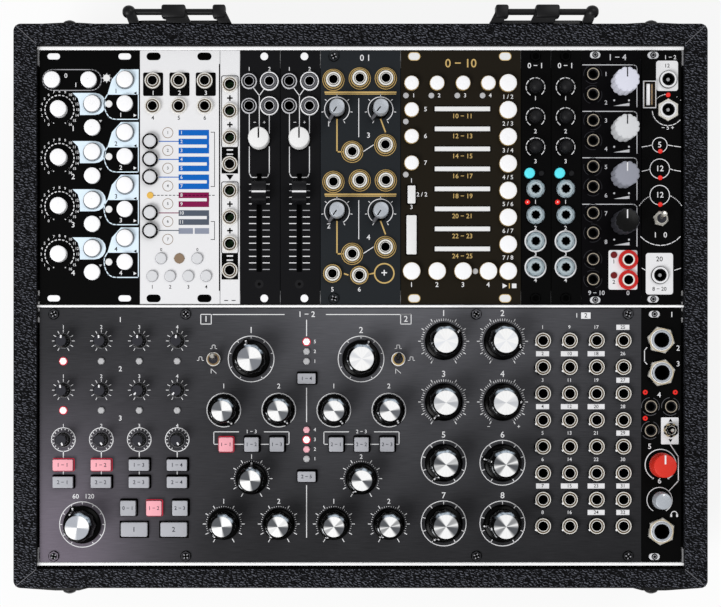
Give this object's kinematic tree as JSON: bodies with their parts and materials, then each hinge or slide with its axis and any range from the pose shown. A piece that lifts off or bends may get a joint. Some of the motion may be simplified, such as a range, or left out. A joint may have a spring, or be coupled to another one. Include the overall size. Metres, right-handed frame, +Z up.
{
  "type": "modular synthesizer",
  "caption": "Portable modular synthesizer: rows of knobs, keys, sliders, toggles and patch sockets on metal panels, in a covered case with hinge halves for a lift off lid.",
  "frame": {"origin": "on the table under the middle of the whole object, hinges included, with the case lying on its back", "axes": "+Z up out of the panels, +Y towards the hinges at the top of the panels, +X along the rows to the right"},
  "size_m": [0.3508, 0.298, 0.1194],
  "materials": {
    "covering": "black textured covering",
    "hardware": "black painted steel",
    "aluminium": "satin anodised",
    "rubber": "matte",
    "board": "circuit board",
    "black_panel": "satin black",
    "silver_panel": "satin",
    "slate_panel": "satin dark grey",
    "brown_panel": "satin dark brown",
    "charcoal_panel": "brushed dark anodised",
    "knob_black": "gloss with a spun metal cap",
    "knob_white": "satin",
    "knob_grey": "satin",
    "knob_red": "satin",
    "toggle": "polished",
    "key": "translucent grey"
  },
  "bodies": {
    "case": {"case_box": "covering", "upper_rail": "aluminium", "middle_rail": "aluminium", "lower_rail": "aluminium", "hinge_left": "hardware", "hinge_right": "hardware", "foot_upper_left": "rubber", "foot_upper_right": "rubber", "foot_lower_left": "rubber", "foot_lower_right": "rubber", "power_bus_board": "board", "clock_panel": "black_panel", "quantizer_panel": "silver_panel", "sum_panel": "silver_panel", "fader_panel_a": "slate_panel", "fader_panel_b": "slate_panel", "gate_panel": "slate_panel", "sequencer_panel": "brown_panel", "effects_panel_a": "black_panel", "effects_panel_b": "black_panel", "mixer_panel": "black_panel", "power_panel": "black_panel", "voice_panel": "charcoal_panel", "output_panel": "black_panel"},
    "fader_knob_a": {"fader_knob_a": "knob_white"},
    "fader_knob_b": {"fader_knob_b": "knob_white"},
    "slider_cap_a": {"slider_cap_a": "knob_black"},
    "slider_cap_b": {"slider_cap_b": "knob_black"},
    "mixer_knob_1": {"mixer_knob_1": "knob_white"},
    "mixer_knob_2": {"mixer_knob_2": "knob_white"},
    "mixer_knob_3": {"mixer_knob_3": "knob_grey"},
    "mixer_knob_4": {"mixer_knob_4": "knob_black"},
    "power_toggle": {"power_toggle": "toggle"},
    "tempo_knob": {"tempo_knob": "knob_black"},
    "oscillator_knob_1": {"oscillator_knob_1": "knob_black"},
    "oscillator_knob_2": {"oscillator_knob_2": "knob_black"},
    "wave_toggle_1": {"wave_toggle_1": "toggle"},
    "wave_toggle_2": {"wave_toggle_2": "toggle"},
    "divider_knob_1": {"divider_knob_1": "knob_black"},
    "sub_level_knob_1": {"sub_level_knob_1": "knob_black"},
    "divider_knob_2": {"divider_knob_2": "knob_black"},
    "sub_level_knob_2": {"sub_level_knob_2": "knob_black"},
    "divider_knob_3": {"divider_knob_3": "knob_black"},
    "sub_level_knob_3": {"sub_level_knob_3": "knob_black"},
    "divider_knob_4": {"divider_knob_4": "knob_black"},
    "sub_level_knob_4": {"sub_level_knob_4": "knob_black"},
    "level_knob_1": {"level_knob_1": "knob_black"},
    "level_knob_2": {"level_knob_2": "knob_black"},
    "cutoff_knob": {"cutoff_knob": "knob_black"},
    "volume_knob": {"volume_knob": "knob_black"},
    "resonance_knob": {"resonance_knob": "knob_black"},
    "amount_knob": {"amount_knob": "knob_black"},
    "filter_attack_knob": {"filter_attack_knob": "knob_black"},
    "filter_decay_knob": {"filter_decay_knob": "knob_black"},
    "level_attack_knob": {"level_attack_knob": "knob_black"},
    "level_decay_knob": {"level_decay_knob": "knob_black"},
    "play_key": {"play_key": "key"},
    "trigger_key": {"trigger_key": "key"},
    "output_knob": {"output_knob": "knob_red"},
    "phones_knob": {"phones_knob": "knob_grey"}
  },
  "joints": [
    {"name": "fader_knob_a_turn", "type": "hinge", "parent": "case", "child": "fader_knob_a", "pos_m": [-0.05131, 0.0813, 0.1014], "axis": [0, 0, 1], "range_deg": [-150, 150]},
    {"name": "fader_knob_b_turn", "type": "hinge", "parent": "case", "child": "fader_knob_b", "pos_m": [-0.03099, 0.0813, 0.1014], "axis": [0, 0, 1], "range_deg": [-150, 150]},
    {"name": "slider_cap_a_slide", "type": "slide", "parent": "case", "child": "slider_cap_a", "axis": [0, 1, 0], "range_m": [-0.0383, 0.0046]},
    {"name": "slider_cap_b_slide", "type": "slide", "parent": "case", "child": "slider_cap_b", "axis": [0, 1, 0], "range_m": [-0.0383, 0.0046]},
    {"name": "mixer_knob_1_turn", "type": "hinge", "parent": "case", "child": "mixer_knob_1", "pos_m": [0.13286, 0.10972, 0.1014], "axis": [0, 0, 1], "range_deg": [-150, 150]},
    {"name": "mixer_knob_2_turn", "type": "hinge", "parent": "case", "child": "mixer_knob_2", "pos_m": [0.13286, 0.08621, 0.1014], "axis": [0, 0, 1], "range_deg": [-150, 150]},
    {"name": "mixer_knob_3_turn", "type": "hinge", "parent": "case", "child": "mixer_knob_3", "pos_m": [0.13286, 0.06269, 0.1014], "axis": [0, 0, 1], "range_deg": [-150, 150]},
    {"name": "mixer_knob_4_turn", "type": "hinge", "parent": "case", "child": "mixer_knob_4", "pos_m": [0.13286, 0.03917, 0.1014], "axis": [0, 0, 1], "range_deg": [-150, 150]},
    {"name": "power_toggle_turn", "type": "hinge", "parent": "case", "child": "power_toggle", "pos_m": [0.15189, 0.04119, 0.1025], "axis": [1, 0, 0], "range_deg": [0, 24]},
    {"name": "tempo_knob_turn", "type": "hinge", "parent": "case", "child": "tempo_knob", "pos_m": [-0.14085, -0.11358, 0.1014], "axis": [0, 0, 1], "range_deg": [-180, 120]},
    {"name": "oscillator_knob_1_turn", "type": "hinge", "parent": "case", "child": "oscillator_knob_1", "pos_m": [-0.05538, -0.02977, 0.1014], "axis": [0, 0, 1], "range_deg": [-166, 134]},
    {"name": "oscillator_knob_2_turn", "type": "hinge", "parent": "case", "child": "oscillator_knob_2", "pos_m": [0.00028, -0.02977, 0.1014], "axis": [0, 0, 1], "range_deg": [-126, 174]},
    {"name": "wave_toggle_1_turn", "type": "hinge", "parent": "case", "child": "wave_toggle_1", "pos_m": [-0.07435, -0.02988, 0.1025], "axis": [1, 0, 0], "range_deg": [0, 24]},
    {"name": "wave_toggle_2_turn", "type": "hinge", "parent": "case", "child": "wave_toggle_2", "pos_m": [0.0191, -0.02988, 0.1025], "axis": [1, 0, 0], "range_deg": [0, 24]},
    {"name": "divider_knob_1_turn", "type": "hinge", "parent": "case", "child": "divider_knob_1", "pos_m": [-0.06923, -0.05567, 0.1014], "axis": [0, 0, 1], "range_deg": [0, 300]},
    {"name": "sub_level_knob_1_turn", "type": "hinge", "parent": "case", "child": "sub_level_knob_1", "pos_m": [-0.06923, -0.11332, 0.1014], "axis": [0, 0, 1], "range_deg": [-294, 6]},
    {"name": "divider_knob_2_turn", "type": "hinge", "parent": "case", "child": "divider_knob_2", "pos_m": [-0.04137, -0.05567, 0.1014], "axis": [0, 0, 1], "range_deg": [-3, 297]},
    {"name": "sub_level_knob_2_turn", "type": "hinge", "parent": "case", "child": "sub_level_knob_2", "pos_m": [-0.04137, -0.11332, 0.1014], "axis": [0, 0, 1], "range_deg": [-297, 3]},
    {"name": "divider_knob_3_turn", "type": "hinge", "parent": "case", "child": "divider_knob_3", "pos_m": [-0.01351, -0.05567, 0.1014], "axis": [0, 0, 1], "range_deg": [-3, 297]},
    {"name": "sub_level_knob_3_turn", "type": "hinge", "parent": "case", "child": "sub_level_knob_3", "pos_m": [-0.01351, -0.11332, 0.1014], "axis": [0, 0, 1], "range_deg": [-300, 0]},
    {"name": "divider_knob_4_turn", "type": "hinge", "parent": "case", "child": "divider_knob_4", "pos_m": [0.01435, -0.05567, 0.1014], "axis": [0, 0, 1], "range_deg": [-7, 293]},
    {"name": "sub_level_knob_4_turn", "type": "hinge", "parent": "case", "child": "sub_level_knob_4", "pos_m": [0.01435, -0.11332, 0.1014], "axis": [0, 0, 1], "range_deg": [-296, 4]},
    {"name": "level_knob_1_turn", "type": "hinge", "parent": "case", "child": "level_knob_1", "pos_m": [-0.05514, -0.09035, 0.1014], "axis": [0, 0, 1], "range_deg": [-150, 150]},
    {"name": "level_knob_2_turn", "type": "hinge", "parent": "case", "child": "level_knob_2", "pos_m": [0.00038, -0.09035, 0.1014], "axis": [0, 0, 1], "range_deg": [-300, 0]},
    {"name": "cutoff_knob_turn", "type": "hinge", "parent": "case", "child": "cutoff_knob", "pos_m": [0.04209, -0.02081, 0.1014], "axis": [0, 0, 1], "range_deg": [-95, 205]},
    {"name": "volume_knob_turn", "type": "hinge", "parent": "case", "child": "volume_knob", "pos_m": [0.07187, -0.02081, 0.1014], "axis": [0, 0, 1], "range_deg": [-42, 258]},
    {"name": "resonance_knob_turn", "type": "hinge", "parent": "case", "child": "resonance_knob", "pos_m": [0.04209, -0.05155, 0.1014], "axis": [0, 0, 1], "range_deg": [-300, 0]},
    {"name": "amount_knob_turn", "type": "hinge", "parent": "case", "child": "amount_knob", "pos_m": [0.07187, -0.05155, 0.1014], "axis": [0, 0, 1], "range_deg": [-61, 239]},
    {"name": "filter_attack_knob_turn", "type": "hinge", "parent": "case", "child": "filter_attack_knob", "pos_m": [0.04209, -0.08231, 0.1014], "axis": [0, 0, 1], "range_deg": [-300, 0]},
    {"name": "filter_decay_knob_turn", "type": "hinge", "parent": "case", "child": "filter_decay_knob", "pos_m": [0.07187, -0.08231, 0.1014], "axis": [0, 0, 1], "range_deg": [-229, 71]},
    {"name": "level_attack_knob_turn", "type": "hinge", "parent": "case", "child": "level_attack_knob", "pos_m": [0.04209, -0.11306, 0.1014], "axis": [0, 0, 1], "range_deg": [-300, 0]},
    {"name": "level_decay_knob_turn", "type": "hinge", "parent": "case", "child": "level_decay_knob", "pos_m": [0.07187, -0.11306, 0.1014], "axis": [0, 0, 1], "range_deg": [-248, 52]},
    {"name": "play_key_slide", "type": "slide", "parent": "case", "child": "play_key", "axis": [0, 0, -1], "range_m": [0, 0.001], "stiffness_N_per_m": 300, "springref_m": -0.0005},
    {"name": "trigger_key_slide", "type": "slide", "parent": "case", "child": "trigger_key", "axis": [0, 0, -1], "range_m": [0, 0.001], "stiffness_N_per_m": 300, "springref_m": -0.0005},
    {"name": "output_knob_turn", "type": "hinge", "parent": "case", "child": "output_knob", "pos_m": [0.15198, -0.08341, 0.1014], "axis": [0, 0, 1], "range_deg": [-150, 150]},
    {"name": "phones_knob_turn", "type": "hinge", "parent": "case", "child": "phones_knob", "pos_m": [0.1516, -0.10117, 0.1014], "axis": [0, 0, 1], "range_deg": [-150, 150]}
  ]
}
